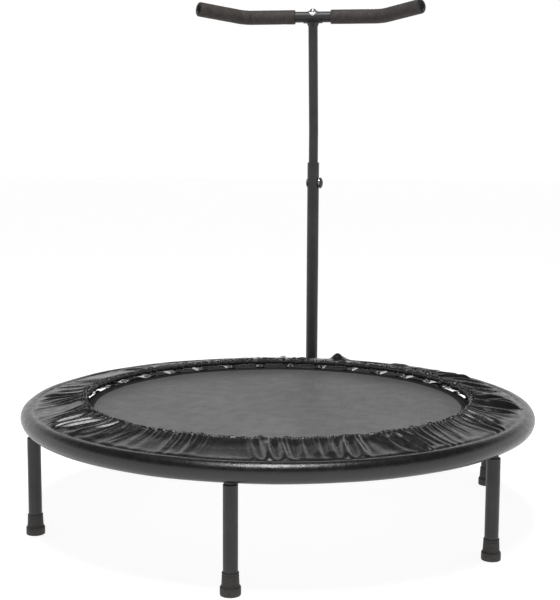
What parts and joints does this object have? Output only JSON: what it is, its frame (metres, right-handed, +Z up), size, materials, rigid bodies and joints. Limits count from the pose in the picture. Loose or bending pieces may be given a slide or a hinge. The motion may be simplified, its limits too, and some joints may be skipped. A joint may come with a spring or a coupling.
{
  "type": "mini trampoline",
  "caption": "Round mini trampoline with a sprung mat under a gathered padded skirt, short legs with rubber feet and a height-adjustable T handle.",
  "frame": {"origin": "on the floor, under the middle of the whole outline; the ring's centre is 19 mm in front of it", "axes": "+Z up, +Y towards the handle's post at the back, front leg on -Y, +X on the lock knob's side"},
  "size_m": [1.0158, 1.054, 1.062],
  "materials": {
    "frame_paint": "satin black powder coat",
    "foot_rubber": "matte moulded rubber",
    "mat_cloth": "woven polypropylene",
    "webbing": "ribbed webbing",
    "skirt_pvc": "glossy coated cloth",
    "rim_foam": "closed-cell foam",
    "elastic": "braided elastic",
    "zinc_steel": "bright zinc plated",
    "grip_foam": "matte foam",
    "moulded_plastic": "fine moulded texture",
    "brass_insert": "turned"
  },
  "bodies": {
    "frame": {"frame_ring": "frame_paint", "leg_studs": "frame_paint", "leg_inserts": "frame_paint", "lower_post": "frame_paint", "lock_bolt": "frame_paint", "leg_front": "frame_paint", "leg_front_right": "frame_paint", "leg_rear_right": "frame_paint", "leg_rear": "frame_paint", "leg_rear_left": "frame_paint", "leg_front_left": "frame_paint", "foot_front": "foot_rubber", "foot_front_right": "foot_rubber", "foot_rear_right": "foot_rubber", "foot_rear": "foot_rubber", "foot_rear_left": "foot_rubber", "foot_front_left": "foot_rubber", "springs": "zinc_steel", "foot_washers": "zinc_steel", "clamp_bolts": "zinc_steel", "clamp_washers": "zinc_steel", "clamp_nuts": "zinc_steel", "rim_cover": "skirt_pvc", "spring_cover": "skirt_pvc", "rim_foam": "rim_foam", "hem_elastic": "elastic", "rim_elastic": "elastic", "post_cap": "moulded_plastic", "post_bush": "moulded_plastic", "lower_clamp_left": "moulded_plastic", "lower_clamp_right": "moulded_plastic", "upper_clamp_left": "moulded_plastic", "upper_clamp_right": "moulded_plastic", "lock_saddles": "moulded_plastic"},
    "mat": {"jump_mat": "mat_cloth", "mat_hem": "webbing", "ring_tabs": "webbing", "v_rings": "zinc_steel"},
    "handle": {"upper_post": "frame_paint", "post_guide": "moulded_plastic", "bar_saddle": "frame_paint", "post_top_nut": "zinc_steel", "handlebar": "frame_paint", "grip_left": "grip_foam", "grip_right": "grip_foam", "bar_end_plugs": "moulded_plastic", "bar_bolt": "zinc_steel", "arc_washer": "zinc_steel"},
    "knob_washer": {"knob_washer": "zinc_steel"},
    "lock_knob": {"lock_knob": "moulded_plastic", "knob_insert": "brass_insert"}
  },
  "joints": [
    {"name": "mat_bounce", "type": "slide", "parent": "frame", "child": "mat", "axis": [0, 0, 1], "range_m": [-0.11, 0.005], "stiffness_N_per_m": 8000, "deforming": ["springs"]},
    {"name": "handle_height", "type": "slide", "parent": "frame", "child": "handle", "axis": [0, 0, 1], "range_m": [-0.04, 0.12]},
    {"name": "knob_travel", "type": "slide", "parent": "frame", "child": "knob_washer", "axis": [1, 0, 0], "range_m": [0, 0.00251]},
    {"name": "knob_turn", "type": "hinge", "parent": "knob_washer", "child": "lock_knob", "pos_m": [0, 0.509, 0.646], "axis": [1, 0, 0], "range_deg": [0, 720]}
  ],
  "couplings": [
    {"joint": "knob_travel", "follows": "knob_turn", "m_per_rad": 0.00019894}
  ]
}
